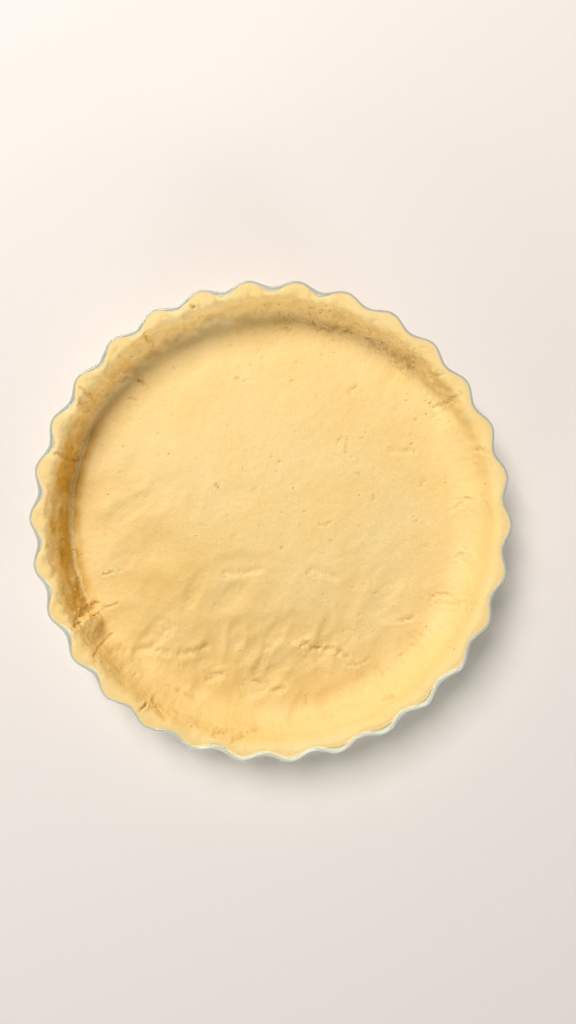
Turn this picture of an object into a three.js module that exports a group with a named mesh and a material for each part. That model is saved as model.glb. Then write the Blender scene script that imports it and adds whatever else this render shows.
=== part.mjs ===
// A round fluted tart dish of pressed glass, lined with raw shortcrust pastry pressed in by hand.
// Units are millimetres and +Z is up. The origin lies on the table, under the middle of the dish,
// and +X points at the crest of a flute.
import * as THREE from "three";

// ---- Glass dish ----
const RIM_DIAMETER = 280; // over the flute crests
const DISH_HEIGHT = 35;
const BASE_DIAMETER = 255; // where the sloping wall, carried on down, would meet the table
const FLUTE_COUNT = 30;
const FLUTE_DEPTH = 4.1; // crest to valley, at the rim
const FLUTE_DEPTH_AT_FLOOR = 1.6;
const FLUTE_RUN_IN = 8; // height above the floor over which a flute grows out of the round corner
const RIM_THICKNESS = 2.2;
const WALL_THICKNESS = 3.6; // at the foot of the wall
const FLOOR_THICKNESS = 4;
const OUTER_CORNER_RADIUS = 9;
const INNER_CORNER_RADIUS = 6;
const FOOT_RING_WIDTH = 12; // flat ring that the dish stands on
const FOOT_RECESS_DEPTH = 0.8;
const FOOT_CHAMFER = 0.8; // run from the foot ring up to the recess

// ---- Pastry lining ----
const PASTRY_GAP = 0.35; // between the pastry and the glass
const PASTRY_BASE_THICKNESS = 5;
const PASTRY_TOP_BELOW_RIM = 0.8;
const SIDE_TOP_THICKNESS = 4.2; // from the middle line of the fluted glass to the pastry's inner face
const SIDE_FOOT_THICKNESS = 5.6;
const SIDE_FOOT_RADIUS = 9; // hollow corner, thumbed down onto the base
const SIDE_TOE_THICKNESS = 0.9; // feathered edge of that corner
const SIDE_SHOULDER = 1.4; // softened inner edge at the top
const SIDE_LAYER_GAP = 0.3; // between a side length and the base under it
const SIDE_JOINT_GAP = 0.4; // between the ends of two side lengths
const INNER_FLUTE_SHARE = 0.3; // how much of a flute still shows on the inner face
// Where one pressed length of pastry meets the next, in degrees from +X.
const SIDE_JOINT_ANGLES = [48, 87, 125, 162, 209, 249];

// ---- Mesh fineness ----
const SEGMENTS_PER_FLUTE = 6;
const CORNER_STEPS = 3;
const RIM_STEPS = 4;
const RUN_IN_RING = 0.75; // share of the flutes' run-in at which a ring of points follows its curve

const COLUMNS = FLUTE_COUNT * SEGMENTS_PER_FLUTE;
const COLUMN_ANGLE = (2 * Math.PI) / COLUMNS;
const rimRadius = (RIM_DIAMETER - FLUTE_DEPTH) / 2; // middle line of the fluted outer edge
const beadRadius = RIM_THICKNESS / 2; // the rim's rounded top
const beadHeight = DISH_HEIGHT - beadRadius;
const baseRadius = BASE_DIAMETER / 2;
const flutesFullHeight = FLOOR_THICKNESS + FLUTE_RUN_IN;
// Every wall has a ring of points at each of these heights, so that the facets of the pastry lie flat
// against those of the glass.
const wallHeights = [
  FLOOR_THICKNESS + RUN_IN_RING * FLUTE_RUN_IN,
  flutesFullHeight,
  (flutesFullHeight + beadHeight) / 2,
  beadHeight,
];
const pastryBaseTop = FLOOR_THICKNESS + PASTRY_GAP + PASTRY_BASE_THICKNESS;
const sideBottom = pastryBaseTop + SIDE_LAYER_GAP;
const sideTop = DISH_HEIGHT - PASTRY_TOP_BELOW_RIM;

// A wall line in the (radius, height) plane, from table height to the middle of the rim's bead.
function wallLine(footRadius, topRadius) {
  const foot = new THREE.Vector2(footRadius, 0);
  const top = new THREE.Vector2(topRadius, beadHeight);
  const along = top.clone().sub(foot).normalize();
  return { foot, along, inward: new THREE.Vector2(-along.y, along.x) };
}

const outerWall = wallLine(baseRadius, rimRadius);
const innerWall = wallLine(baseRadius - WALL_THICKNESS, rimRadius - RIM_THICKNESS);

// Radius of a wall line at a height, moved inwards by an offset at right angles to the wall.
function wallRadius(wall, height, offset = 0) {
  const start = wall.foot.clone().addScaledVector(wall.inward, offset);
  return start.x + ((height - start.y) * wall.along.x) / wall.along.y;
}

// Round corner between a level floor and a wall line, from the floor's end of the arc to the wall's.
function cornerArc(wall, offset, floorHeight, radius) {
  const middleHeight = floorHeight + radius;
  const middleRadius = wallRadius(wall, middleHeight, offset + radius);
  const wallAngle = Math.atan2(-wall.inward.y, -wall.inward.x);
  const points = [];
  for (let i = 0; i <= CORNER_STEPS; i++) {
    const angle = THREE.MathUtils.lerp(-Math.PI / 2, wallAngle, i / CORNER_STEPS);
    points.push(
      new THREE.Vector2(middleRadius + radius * Math.cos(angle), middleHeight + radius * Math.sin(angle)),
    );
  }
  return points;
}

// Points up a wall line between two heights, without its first height, which the corner already has.
function wallPoints(wall, offset, fromHeight, toHeight) {
  const heights = wallHeights.filter((height) => height > fromHeight && height < toHeight);
  return [...heights, toHeight].map(
    (height) => new THREE.Vector2(wallRadius(wall, height, offset), height),
  );
}

// How far a flute's crest stands out from the middle line at a height: nothing on the floor,
// growing round the corner and then steadily up to the rim.
function fluteReach(height) {
  const runIn = THREE.MathUtils.smoothstep(height, FLOOR_THICKNESS, flutesFullHeight);
  const share = (Math.min(height, beadHeight) - FLOOR_THICKNESS) / (beadHeight - FLOOR_THICKNESS);
  return (runIn * THREE.MathUtils.lerp(FLUTE_DEPTH_AT_FLOOR, FLUTE_DEPTH, share)) / 2;
}

// The flutes' wave round the dish: 1 on a crest and -1 in a valley, with a straight facet from each
// column to the next.
function fluteWave(angle) {
  const column = Math.floor(angle / COLUMN_ANGLE);
  const [here, next] = [column, column + 1].map((i) => Math.cos(FLUTE_COUNT * i * COLUMN_ANGLE));
  return THREE.MathUtils.lerp(here, next, angle / COLUMN_ANGLE - column);
}

// Moves every vertex of a round body in or out with the flutes. shareAt(radius, height) says how
// much of the flute reaches that point.
function flute(geometry, shareAt) {
  const position = geometry.getAttribute("position");
  const point = new THREE.Vector3();
  for (let i = 0; i < position.count; i++) {
    point.fromBufferAttribute(position, i);
    const radius = Math.hypot(point.x, point.y);
    if (radius === 0) continue;
    const angle = Math.atan2(point.y, point.x);
    const reach = fluteReach(point.z) * shareAt(radius, point.z);
    const stretch = (radius + reach * fluteWave(angle)) / radius;
    position.setXY(i, point.x * stretch, point.y * stretch);
  }
  geometry.computeVertexNormals();
  return geometry;
}

// A body turned about +Z from a profile of (radius, height) points that starts and ends on the axis.
// Its first column stands on +X.
function turned(profile) {
  return new THREE.LatheGeometry(profile, COLUMNS).rotateX(Math.PI / 2).rotateZ(Math.PI / 2);
}

function dishProfile() {
  const outerCorner = cornerArc(outerWall, 0, 0, OUTER_CORNER_RADIUS);
  const innerCorner = cornerArc(innerWall, 0, FLOOR_THICKNESS, INNER_CORNER_RADIUS);
  const ringInner = outerCorner[0].x - FOOT_RING_WIDTH;
  const rim = [];
  for (let i = 1; i < RIM_STEPS; i++) {
    const angle = (Math.PI * i) / RIM_STEPS;
    const radius = rimRadius - beadRadius + beadRadius * Math.cos(angle);
    rim.push(new THREE.Vector2(radius, beadHeight + beadRadius * Math.sin(angle)));
  }
  return [
    new THREE.Vector2(0, FOOT_RECESS_DEPTH),
    new THREE.Vector2(ringInner - FOOT_CHAMFER, FOOT_RECESS_DEPTH),
    new THREE.Vector2(ringInner, 0),
    ...outerCorner,
    ...wallPoints(outerWall, 0, outerCorner.at(-1).y, beadHeight),
    ...rim,
    ...[...innerCorner, ...wallPoints(innerWall, 0, innerCorner.at(-1).y, beadHeight)].reverse(),
    new THREE.Vector2(0, FLOOR_THICKNESS),
  ];
}

// The glass side of the pastry from the floor's end of its corner up to a height.
function pastryOutside(toHeight) {
  const corner = cornerArc(
    innerWall,
    PASTRY_GAP,
    FLOOR_THICKNESS + PASTRY_GAP,
    INNER_CORNER_RADIUS - PASTRY_GAP,
  );
  const onCorner = corner.filter((point) => point.y < toHeight);
  if (onCorner.length === corner.length) {
    return [...corner, ...wallPoints(innerWall, PASTRY_GAP, corner.at(-1).y, toHeight)];
  }
  const last = onCorner.at(-1);
  const next = corner[onCorner.length];
  return [...onCorner, last.clone().lerp(next, (toHeight - last.y) / (next.y - last.y))];
}

function pastryBaseProfile() {
  return [
    new THREE.Vector2(0, FLOOR_THICKNESS + PASTRY_GAP),
    ...pastryOutside(pastryBaseTop),
    new THREE.Vector2(0, pastryBaseTop),
  ];
}

// The inner face of a side length, as a line from its foot to its top.
const sideInner = (() => {
  const foot = wallRadius(innerWall, sideBottom) - SIDE_FOOT_THICKNESS;
  const top = wallRadius(innerWall, sideTop) - SIDE_TOP_THICKNESS;
  const slope = (top - foot) / (sideTop - sideBottom);
  return wallLine(foot - slope * sideBottom, top + slope * (beadHeight - sideTop));
})();

// The cross-section of a side length: up the glass, over the top, and down the inner face into the
// hollow corner that is thumbed onto the base.
function sideSection() {
  const outside = wallPoints(innerWall, PASTRY_GAP, sideBottom, sideTop);
  const hollow = cornerArc(sideInner, 0, sideBottom + SIDE_TOE_THICKNESS, SIDE_FOOT_RADIUS);
  const shoulder = sideTop - SIDE_SHOULDER;
  return new THREE.Shape([
    new THREE.Vector2(wallRadius(innerWall, sideBottom, PASTRY_GAP), sideBottom),
    ...outside,
    new THREE.Vector2(wallRadius(sideInner, sideTop) + SIDE_SHOULDER, sideTop),
    new THREE.Vector2(wallRadius(sideInner, shoulder), shoulder),
    ...hollow.reverse(),
    new THREE.Vector2(hollow.at(-1).x, sideBottom),
  ]);
}

// The whole flute reaches the pastry's glass side, and a share of it the inner face.
function sideFluteShare(radius, height) {
  const outside = wallRadius(innerWall, height, PASTRY_GAP);
  const inside = wallRadius(sideInner, height);
  const depth = THREE.MathUtils.clamp((outside - radius) / (outside - inside), 0, 1);
  return THREE.MathUtils.lerp(1, INNER_FLUTE_SHARE, depth);
}

// The angles at which a length has a cross-section: its two ends, and between them the dish's own
// columns, so that the facets of the pastry lie flat against those of the glass.
function sectionAngles(fromAngle, toAngle) {
  const angles = [fromAngle];
  let column = Math.floor(fromAngle / COLUMN_ANGLE) + 1;
  for (; column * COLUMN_ANGLE < toAngle; column++) angles.push(column * COLUMN_ANGLE);
  return [...angles, toAngle];
}

// A section of (radius, height) points carried round +Z from one angle to another, in radians.
function carriedRound(section, fromAngle, toAngle) {
  const angles = sectionAngles(fromAngle, toAngle).reverse();
  const steps = angles.length - 1;
  const geometry = new THREE.ExtrudeGeometry(section, { depth: steps, steps, bevelEnabled: false });
  const position = geometry.getAttribute("position");
  for (let i = 0; i < position.count; i++) {
    const radius = position.getX(i);
    const angle = angles[Math.round(position.getZ(i))];
    position.setXYZ(i, radius * Math.cos(angle), radius * Math.sin(angle), position.getY(i));
  }
  return geometry;
}

function sideLength(fromDegrees, toDegrees) {
  const halfGap = SIDE_JOINT_GAP / 2 / wallRadius(sideInner, sideBottom);
  const from = THREE.MathUtils.degToRad(fromDegrees) + halfGap;
  const to = THREE.MathUtils.degToRad(toDegrees) - halfGap;
  return flute(carriedRound(sideSection(), from, to), sideFluteShare);
}

const glass = new THREE.MeshStandardMaterial({
  color: 0xdfe9e2,
  roughness: 0.05,
  metalness: 0,
  transparent: true,
  opacity: 0.35,
});
const pastry = new THREE.MeshStandardMaterial({ color: 0xf6d48c, roughness: 0.75, metalness: 0 });

const tartDish = new THREE.Group();

function addMesh(name, geometry, material) {
  const mesh = new THREE.Mesh(geometry, material);
  mesh.name = name;
  tartDish.add(mesh);
}

addMesh("glass_dish", flute(turned(dishProfile()), () => 1), glass);
addMesh("pastry_base", flute(turned(pastryBaseProfile()), () => 1), pastry);
SIDE_JOINT_ANGLES.forEach((angle, i) => {
  const isLast = i === SIDE_JOINT_ANGLES.length - 1;
  const nextAngle = isLast ? SIDE_JOINT_ANGLES[0] + 360 : SIDE_JOINT_ANGLES[i + 1];
  addMesh(`pastry_side_${i + 1}`, sideLength(angle, nextAngle), pastry);
});

export default tartDish;
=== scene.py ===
"""A round fluted tart dish of pressed glass, lined with raw shortcrust pastry pressed in by hand.

Lengths are metres and angles are radians unless a name says otherwise. +Z is up, the origin lies
under the middle of the dish and +X points at the crest of a flute. The dish and each length of
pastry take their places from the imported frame. All relief in the pastry is worked out in plan, so
that a crease or a dent carries on from one piece of pastry to the next.
"""

import logging
import math
from dataclasses import dataclass, field
from enum import Enum

import bpy
import numpy as np
from mathutils import Matrix, Vector


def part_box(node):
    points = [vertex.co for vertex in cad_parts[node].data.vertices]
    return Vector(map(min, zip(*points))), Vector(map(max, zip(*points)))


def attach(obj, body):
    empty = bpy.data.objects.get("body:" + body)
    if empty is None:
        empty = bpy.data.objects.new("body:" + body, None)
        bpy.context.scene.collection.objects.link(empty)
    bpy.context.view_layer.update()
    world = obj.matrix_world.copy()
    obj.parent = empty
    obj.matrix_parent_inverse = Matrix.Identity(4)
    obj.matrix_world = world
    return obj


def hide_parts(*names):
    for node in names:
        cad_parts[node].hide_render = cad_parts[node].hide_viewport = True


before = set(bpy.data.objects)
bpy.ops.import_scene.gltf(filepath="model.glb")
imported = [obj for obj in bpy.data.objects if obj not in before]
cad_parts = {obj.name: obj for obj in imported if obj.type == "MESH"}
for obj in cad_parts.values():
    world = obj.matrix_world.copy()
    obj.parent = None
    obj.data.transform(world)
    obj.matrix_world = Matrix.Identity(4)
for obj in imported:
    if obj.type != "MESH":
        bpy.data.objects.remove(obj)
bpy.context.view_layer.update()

LOG = logging.getLogger("tart_dish")
MM = 0.001
SHARP = math.radians(60.0)  # faces that meet more steeply than this are shaded apart


class Body(Enum):
    """The two bodies that pieces ride on."""

    DISH = "dish"
    PASTRY = "pastry"


class Seam(Enum):
    """How a side length of pastry meets the base under it."""

    SMOOTHED = "smoothed"
    ROLLED = "rolled"
    CREASED = "creased"
    CRUMBLY = "crumbly"


# ---------------------------------------------------------------------------- shape arithmetic


def smooth(low: float, high: float, value: np.ndarray) -> np.ndarray:
    """Rises from 0 at low to 1 at high along 3t^2 - 2t^3."""
    share = np.clip((value - low) / (high - low), 0.0, 1.0)
    return share * share * (3.0 - 2.0 * share)


def band(start: float, full: float, waning: float, end: float, value: np.ndarray) -> np.ndarray:
    """Rises from 0 at start to 1 at full, and falls from 1 at waning to 0 at end, both eased."""
    return smooth(start, full, value) * smooth(end, waning, value)


def polar(radius: np.ndarray, angle: np.ndarray, height: np.ndarray) -> np.ndarray:
    """Points with x, y and z in the last axis, from radius, angle from +X and height."""
    radius, angle, height = np.broadcast_arrays(radius, angle, height)
    return np.stack([radius * np.cos(angle), radius * np.sin(angle), height], axis=-1)


class SpaceNoise:
    """Smooth random field in space: random slopes at whole-number points, blended between them."""

    TABLE = 256

    def __init__(self, seed: int) -> None:
        """Draws the table of slopes.

        Args:
            seed: Number that fixes the field.
        """
        rng = np.random.default_rng(seed)
        self.order = rng.permutation(self.TABLE)
        slopes = rng.normal(size=(self.TABLE, 3))
        self.slopes = slopes / np.linalg.norm(slopes, axis=1, keepdims=True)

    def at(self, points: np.ndarray) -> np.ndarray:
        """The field at each point: each of the 8 corners of the point's cell gives its slope times
        the way to the point, weighted by 6t^5 - 15t^4 + 10t^3 along each axis.

        Args:
            points: Points, in cells.

        Returns:
            Values from about -1 to 1.
        """
        cell = np.floor(points).astype(np.int64)
        part = points - cell
        ease = part**3 * (part * (part * 6.0 - 15.0) + 10.0)
        total = np.zeros(points.shape[:-1])
        for corner in np.ndindex(2, 2, 2):
            step = np.array(corner)
            index = (cell + step) % self.TABLE
            key = self.order[index[..., 0]]
            key = self.order[(key + index[..., 1]) % self.TABLE]
            key = self.order[(key + index[..., 2]) % self.TABLE]
            weight = np.where(step == 1, ease, 1.0 - ease).prod(axis=-1)
            total += weight * np.einsum("...k,...k->...", self.slopes[key], part - step)
        return total * 1.6

    def layered(self, points: np.ndarray, cell: float, layers: int = 3) -> np.ndarray:
        """Sum of fields over points in metres, each with half the cell and half the weight of the last."""
        return sum(self.at(points / cell * 2.0**n + 17.0 * n) / 2.0**n for n in range(layers))


def line_distance(x: np.ndarray, y: np.ndarray, line: list[tuple[float, float]]) -> np.ndarray:
    """Distance in plan from each point to the nearest stretch of a broken line.

    Args:
        x: Point coordinates.
        y: Point coordinates.
        line: Corners of the line.

    Returns:
        The distances.
    """
    nearest = np.full(x.shape, np.inf)
    for (ax, ay), (bx, by) in zip(line[:-1], line[1:]):
        run_x, run_y = bx - ax, by - ay
        along = ((x - ax) * run_x + (y - ay) * run_y) / (run_x**2 + run_y**2)
        along = np.clip(along, 0.0, 1.0)
        nearest = np.minimum(nearest, np.hypot(x - ax - along * run_x, y - ay - along * run_y))
    return nearest


# ---------------------------------------------------------------------------- mesh making


def grid_quads(rows: int, columns: int, round_columns: bool, start: int = 0) -> np.ndarray:
    """Corner numbers of a grid's quads, turned so that row direction x column direction faces out.

    Args:
        rows: Number of rows of points.
        columns: Number of points in a row.
        round_columns: True where the last column joins the first.
        start: Number of the grid's first point.

    Returns:
        One row of four corners for each quad.
    """
    row = np.arange(rows - 1)[:, None]
    column = np.arange(columns if round_columns else columns - 1)[None, :]
    after = (column + 1) % columns
    corners = [row * columns + column, (row + 1) * columns + column]
    corners += [(row + 1) * columns + after, row * columns + after]
    return start + np.stack(np.broadcast_arrays(*corners), axis=-1).reshape(-1, 4)


def fan(pole: int, ring: np.ndarray) -> np.ndarray:
    """Triangles from one point to each stretch of a closed ring, given in the order that faces out."""
    return np.stack([np.full(len(ring), pole), ring, np.roll(ring, -1)], axis=-1)


def make_object(name: str, points: np.ndarray, faces: list[np.ndarray]) -> bpy.types.Object:
    """Puts points and faces into a new smooth-shaded object at the origin.

    Args:
        name: The piece's name.
        points: Points with x, y and z in the last axis.
        faces: Arrays of corner numbers, each with one face a row.

    Returns:
        The object, linked to the scene.
    """
    mesh = bpy.data.meshes.new(name)
    points = points.reshape(-1, 3)
    sizes = np.concatenate([np.full(len(rows), rows.shape[1]) for rows in faces])
    mesh.vertices.add(len(points))
    mesh.vertices.foreach_set("co", points.astype(np.float32).ravel())
    mesh.loops.add(int(sizes.sum()))
    mesh.loops.foreach_set("vertex_index", np.concatenate([rows.ravel() for rows in faces]))
    mesh.polygons.add(len(sizes))
    mesh.polygons.foreach_set("loop_start", np.concatenate([[0], np.cumsum(sizes)[:-1]]))
    mesh.polygons.foreach_set("use_smooth", np.ones(len(sizes), dtype=bool))
    mesh.update(calc_edges=True)
    mesh.validate()
    mesh.set_sharp_from_angle(angle=SHARP)
    piece = bpy.data.objects.new(name, mesh)
    bpy.context.scene.collection.objects.link(piece)
    return piece


def set_attribute(piece: bpy.types.Object, name: str, values: np.ndarray) -> None:
    """Stores one number for each point of a piece, for its material to read."""
    layer = piece.data.attributes.new(name, "FLOAT", "POINT")
    layer.data.foreach_set("value", values.astype(np.float32).ravel())


def read_numbers(items: bpy.types.bpy_prop_collection, name: str, width: int) -> np.ndarray:
    """One property of each item of a mesh's collection, one row of width numbers for each."""
    numbers = np.empty(width * len(items))
    items.foreach_get(name, numbers)
    return numbers.reshape(-1, width)


def place(piece: bpy.types.Object, finish: bpy.types.Material, slot: str, body: Body, node: str = "") -> None:
    """Gives a piece its finish, hangs it on the body that it rides on, and hides the frame's node
    that it stands for, if any.

    Args:
        piece: The piece.
        finish: Its material.
        slot: The frame's name for what it is made of; not used.
        body: The body that it rides on.
        node: The frame's node that it replaces, if any.
    """
    piece.data.materials.append(finish)
    if node:
        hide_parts(node)
    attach(piece, body.value)
    LOG.info("%s: %d faces", piece.name, len(piece.data.polygons))


# ---------------------------------------------------------------------------- finishes


class Nodes:
    """Short way to build one node material around a Principled shader."""

    def __init__(self, name: str, **values: object) -> None:
        """Makes the material with its shader and Object coordinates.

        Args:
            name: The material's name.
            **values: The shader's inputs, as for fill.
        """
        self.material = bpy.data.materials.new(name)
        self.material.use_nodes = True
        self.tree = self.material.node_tree
        self.tree.nodes.clear()
        self.shader = self.add("ShaderNodeBsdfPrincipled", **values)
        self.output = self.add("ShaderNodeOutputMaterial", Surface=self.shader.outputs["BSDF"])
        self.place = self.add("ShaderNodeTexCoord").outputs["Object"]

    def add(self, kind: str, **values: object) -> bpy.types.Node:
        """Adds a node.

        Args:
            kind: Blender's name for the node type.
            **values: Its inputs and properties, as for fill.

        Returns:
            The node.
        """
        node = self.tree.nodes.new(kind)
        self.fill(node, **values)
        return node

    def fill(self, node: bpy.types.Node, **values: object) -> None:
        """Sets a node's inputs and properties.

        Args:
            node: The node.
            **values: By the name of the input or property, with _ for a space. A socket is linked.
        """
        for key, value in values.items():
            socket = node.inputs.get(key.replace("_", " "))
            if socket is None or hasattr(node, key):
                setattr(node, key, value)
            else:
                self.feed(socket, value)

    def feed(self, socket: bpy.types.NodeSocket, value: object) -> None:
        """Links a socket to an input, or sets the input to a plain value."""
        if isinstance(value, bpy.types.NodeSocket):
            self.tree.links.new(value, socket)
        else:
            socket.default_value = value

    def noise(self, scale: float, detail: float, distortion: float = 0.0) -> bpy.types.NodeSocket:
        """Noise over Object coordinates.

        Args:
            scale: Cells per metre.
            detail: Layers of finer noise.
            distortion: How far the field is stirred.

        Returns:
            The factor output, from 0 to 1.
        """
        values = {"Scale": scale, "Detail": detail, "Distortion": distortion}
        return self.add("ShaderNodeTexNoise", Vector=self.place, **values).outputs[0]

    def ramp(self, factor: bpy.types.NodeSocket, *stops: tuple[float, tuple]) -> bpy.types.NodeSocket:
        """Colour ramp.

        Args:
            factor: What the ramp reads.
            *stops: Place and colour of each of the two stops.

        Returns:
            The colour output.
        """
        node = self.add("ShaderNodeValToRGB", Fac=factor)
        for element, (position, colour) in zip(node.color_ramp.elements, stops):
            element.position, element.color = position, (*colour, 1.0)
        return node.outputs["Color"]

    def mix(self, factor: object, first: object, second: object, blend: str = "MIX") -> bpy.types.NodeSocket:
        """Mixes two colours, each a socket or a plain colour.

        Args:
            factor: Share of the second colour.
            first: First colour.
            second: Second colour.
            blend: Blender's name for the way of mixing.

        Returns:
            The mixed colour.
        """
        node = self.add("ShaderNodeMix", data_type="RGBA", blend_type=blend)
        for number, value in ((0, factor), (6, first), (7, second)):
            self.feed(node.inputs[number], (*value, 1.0) if isinstance(value, tuple) else value)
        return node.outputs[2]

    def scaled(self, value: bpy.types.NodeSocket, low: float, high: float) -> bpy.types.NodeSocket:
        """Maps 0..1 to low..high."""
        return self.add("ShaderNodeMapRange", Value=value, To_Min=low, To_Max=high).outputs["Result"]

    def height(self, low: float, high: float) -> bpy.types.NodeSocket:
        """How far up a point lies between two heights in metres, eased, from 0 to 1."""
        parts = self.add("ShaderNodeSeparateXYZ", Vector=self.place)
        values = {"Value": parts.outputs["Z"], "From_Min": low, "From_Max": high}
        return self.add("ShaderNodeMapRange", interpolation_type="SMOOTHSTEP", **values).outputs["Result"]

    def attribute(self, name: str) -> bpy.types.NodeSocket:
        """A number that the piece's points carry."""
        return self.add("ShaderNodeAttribute", attribute_name=name).outputs["Fac"]

    def bump(self, *heights: tuple[bpy.types.NodeSocket, float]) -> None:
        """Raises the surface by each height field, one on top of the other.

        Args:
            *heights: Fields from 0 to 1, each with its full height in metres.
        """
        under = {}
        for relief, height in heights:
            node = self.add("ShaderNodeBump", Strength=1.0, Distance=height, Height=relief, **under)
            under = {"Normal": node.outputs["Normal"]}
        self.fill(self.shader, **under)


@dataclass(frozen=True)
class RawShortcrust:
    """Raw buttery shortcrust: pale gold, matt, a little see-through, with a fine crumb."""

    pale: tuple[float, float, float] = (0.98, 0.735, 0.335)
    plain: tuple[float, float, float] = (0.965, 0.685, 0.265)
    # deep: a deeper, more orange tone, partly painted shade on the far left wall and its foot
    deep: tuple[float, float, float] = (0.72, 0.39, 0.03)
    # shade: painted shade for cracks, pits, folds and slits, laid in by the hollow share
    shade: tuple[float, float, float] = (0.74, 0.49, 0.13)  # down in the cracks and pits
    fleck: tuple[float, float, float] = (0.93, 0.90, 0.82)  # tone of the fine specks
    roughness: tuple[float, float] = (0.46, 0.68)
    sheen: float = 0.35
    glow: float = 0.1  # share of light that passes under the surface
    glow_reach: float = 1.6 * MM
    glow_colour: tuple[float, float, float] = (1.0, 0.6, 0.3)
    crumb: float = 0.00022  # height of the fine crumb

    def material(self) -> bpy.types.Material:
        """Builds the dough: soft clouds of tone, a deeper tone in places, painted shade in hollows, and a
        fine crumb in the relief.

        Returns:
            The material.
        """
        nodes = Nodes("raw_shortcrust", Specular_IOR_Level=self.sheen, Subsurface_Weight=self.glow)
        black, white = (0.0, 0.0, 0.0), (1.0, 1.0, 1.0)
        tone = nodes.ramp(nodes.noise(22.0, 4.0, 0.6), (0.3, self.plain), (0.7, self.pale))
        flecks = nodes.ramp(nodes.noise(900.0, 2.0), (0.42, self.fleck), (0.62, white))
        tone = nodes.mix(0.5, tone, flecks, "MULTIPLY")
        # deeper tone by its own share, partly painted shade on the far left wall and its foot
        tone = nodes.mix(nodes.attribute("deep_tone_and_shade"), tone, self.deep)
        # painted shade in cracks, pits, folds and slits, by the hollow share
        tone = nodes.mix(nodes.attribute("hollow"), tone, self.shade)
        nodes.fill(
            nodes.shader,
            Base_Color=tone,
            Roughness=nodes.scaled(nodes.noise(140.0, 3.0), *self.roughness),
            Subsurface_Radius=self.glow_colour,
            Subsurface_Scale=self.glow_reach,
        )
        pores = nodes.add("ShaderNodeTexVoronoi", Vector=nodes.place, Scale=420.0)
        nodes.bump(
            (nodes.noise(260.0, 4.0), 1.6 * self.crumb),
            (nodes.noise(1100.0, 2.0), 0.5 * self.crumb),
            (nodes.ramp(pores.outputs["Distance"], (0.05, black), (0.3, white)), 0.35 * self.crumb),
        )
        return nodes.material


@dataclass(frozen=True)
class PressedGlass:
    """Clear pressed glass with the faint green of its iron and the soft ripple of its mould."""

    tint: tuple[float, float, float] = (0.925, 0.958, 0.875)
    index: float = 1.5
    clear: float = 0.93  # share that light passes through; the rest is the haze of fine scratches
    clear_rim: float = 0.54  # the same on the rim: partly wear, partly painted light for the glow it catches
    rim_wear_and_glow: tuple[float, float] = (30.5 * MM, 34.0 * MM)  # heights where wear and painted glow set in
    roughness: float = 0.04
    ripple: float = 0.00012

    def material(self) -> bpy.types.Material:
        """Builds the glass, which lets light from the lamps through to what lies behind it.

        Returns:
            The material.
        """
        tint = (*self.tint, 1.0)
        nodes = Nodes("pressed_glass", Base_Color=tint, IOR=self.index)
        nodes.fill(
            nodes.shader,
            # rim haze: partly wear, partly painted light for the glow carried up inside the glass
            Transmission_Weight=nodes.scaled(nodes.height(*self.rim_wear_and_glow), self.clear, self.clear_rim),
            Roughness=nodes.scaled(nodes.noise(60.0, 2.0), self.roughness, 2.0 * self.roughness),
        )
        nodes.bump((nodes.noise(45.0, 2.0), self.ripple))
        shadow = nodes.add("ShaderNodeLightPath").outputs["Is Shadow Ray"]
        either = nodes.add("ShaderNodeMixShader", Fac=shadow)
        nodes.feed(either.inputs[1], nodes.shader.outputs["BSDF"])
        nodes.feed(either.inputs[2], nodes.add("ShaderNodeBsdfTransparent", Color=tint).outputs["BSDF"])
        nodes.fill(nodes.output, Surface=either.outputs["Shader"])
        return nodes.material


@dataclass(frozen=True)
class PaintedTable:
    """Warm white matt table top."""

    colour: tuple[float, float, float] = (0.885, 0.815, 0.765)
    roughness: float = 0.85
    sheen: float = 0.2

    def material(self) -> bpy.types.Material:
        """Builds the table's paint.

        Returns:
            The material.
        """
        values = {"Roughness": self.roughness, "Specular_IOR_Level": self.sheen}
        return Nodes("painted_table", Base_Color=(*self.colour, 1.0), **values).material


# ---------------------------------------------------------------------------- glass dish


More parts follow.
